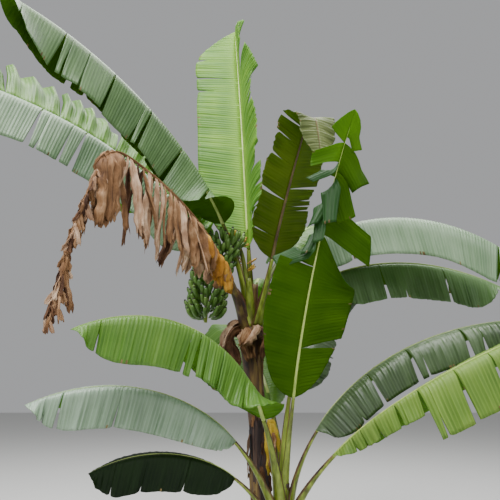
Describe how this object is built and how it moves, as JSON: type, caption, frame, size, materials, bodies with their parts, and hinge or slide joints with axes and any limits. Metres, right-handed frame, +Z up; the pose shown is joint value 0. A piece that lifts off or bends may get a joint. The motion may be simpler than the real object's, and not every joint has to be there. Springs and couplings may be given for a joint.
{
  "type": "banana plant",
  "caption": "Fruiting banana plant rooted in the ground: leaning main stem with arching torn leaves, a dead leaf and a hanging bunch, and a leafy side shoot at its foot.",
  "frame": {"origin": "middle of the main stem's flat cut at ground level", "axes": "+Z up, +X to the right in the picture, +Y away from the viewer"},
  "size_m": [4.2748, 3.9398, 5.0684],
  "materials": {
    "stem": "fibrous leaf sheaths, dark red-brown with dry edges",
    "leaf_stalk": "smooth waxy yellow-green",
    "leaf_blade": "ribbed leaf, silvery bloom above, deeper green below",
    "dead_leaf": "dry crumpled brown leaf",
    "yellow_leaf": "fading yellow leaf with brown spots",
    "fruit": "unripe green, matte, dark at the tips"
  },
  "bodies": {
    "root": {"main_stem": "stem", "side_stem": "stem", "main_leaf_back_stalk": "leaf_stalk", "main_leaf_front_stalk": "leaf_stalk", "main_leaf_left_high_stalk": "leaf_stalk", "main_leaf_left_low_stalk": "leaf_stalk", "main_leaf_right_stalk": "leaf_stalk", "main_leaf_right_low_stalk": "leaf_stalk", "main_leaf_far_left_stalk": "leaf_stalk", "main_leaf_far_right_stalk": "leaf_stalk", "main_leaf_far_low_stalk": "leaf_stalk", "dead_leaf_stalk": "leaf_stalk", "yellow_leaf_stalk": "leaf_stalk", "side_leaf_front_stalk": "leaf_stalk", "side_leaf_far_right_stalk": "leaf_stalk", "side_leaf_left_high_stalk": "leaf_stalk", "side_leaf_left_mid_stalk": "leaf_stalk", "side_leaf_left_low_stalk": "leaf_stalk", "side_leaf_right_stalk": "leaf_stalk", "side_leaf_right_low_stalk": "leaf_stalk", "side_leaf_far_stalk": "leaf_stalk", "bunch": "fruit", "main_leaf_back_blade": "leaf_blade", "main_leaf_front_blade": "leaf_blade", "main_leaf_left_high_blade": "leaf_blade", "main_leaf_left_low_blade": "leaf_blade", "main_leaf_right_blade": "leaf_blade", "main_leaf_right_low_blade": "leaf_blade", "main_leaf_far_left_blade": "leaf_blade", "main_leaf_far_right_blade": "leaf_blade", "main_leaf_far_low_blade": "leaf_blade", "side_leaf_front_blade": "leaf_blade", "side_leaf_far_right_blade": "leaf_blade", "side_leaf_left_high_blade": "leaf_blade", "side_leaf_left_mid_blade": "leaf_blade", "side_leaf_left_low_blade": "leaf_blade", "side_leaf_right_blade": "leaf_blade", "side_leaf_right_low_blade": "leaf_blade", "side_leaf_far_blade": "leaf_blade", "dead_leaf_blade": "dead_leaf", "dead_leaf_tip": "dead_leaf", "yellow_leaf_blade": "yellow_leaf", "dead_sheath_left": "dead_leaf", "dead_sheath_right": "dead_leaf"}
  },
  "joints": []
}
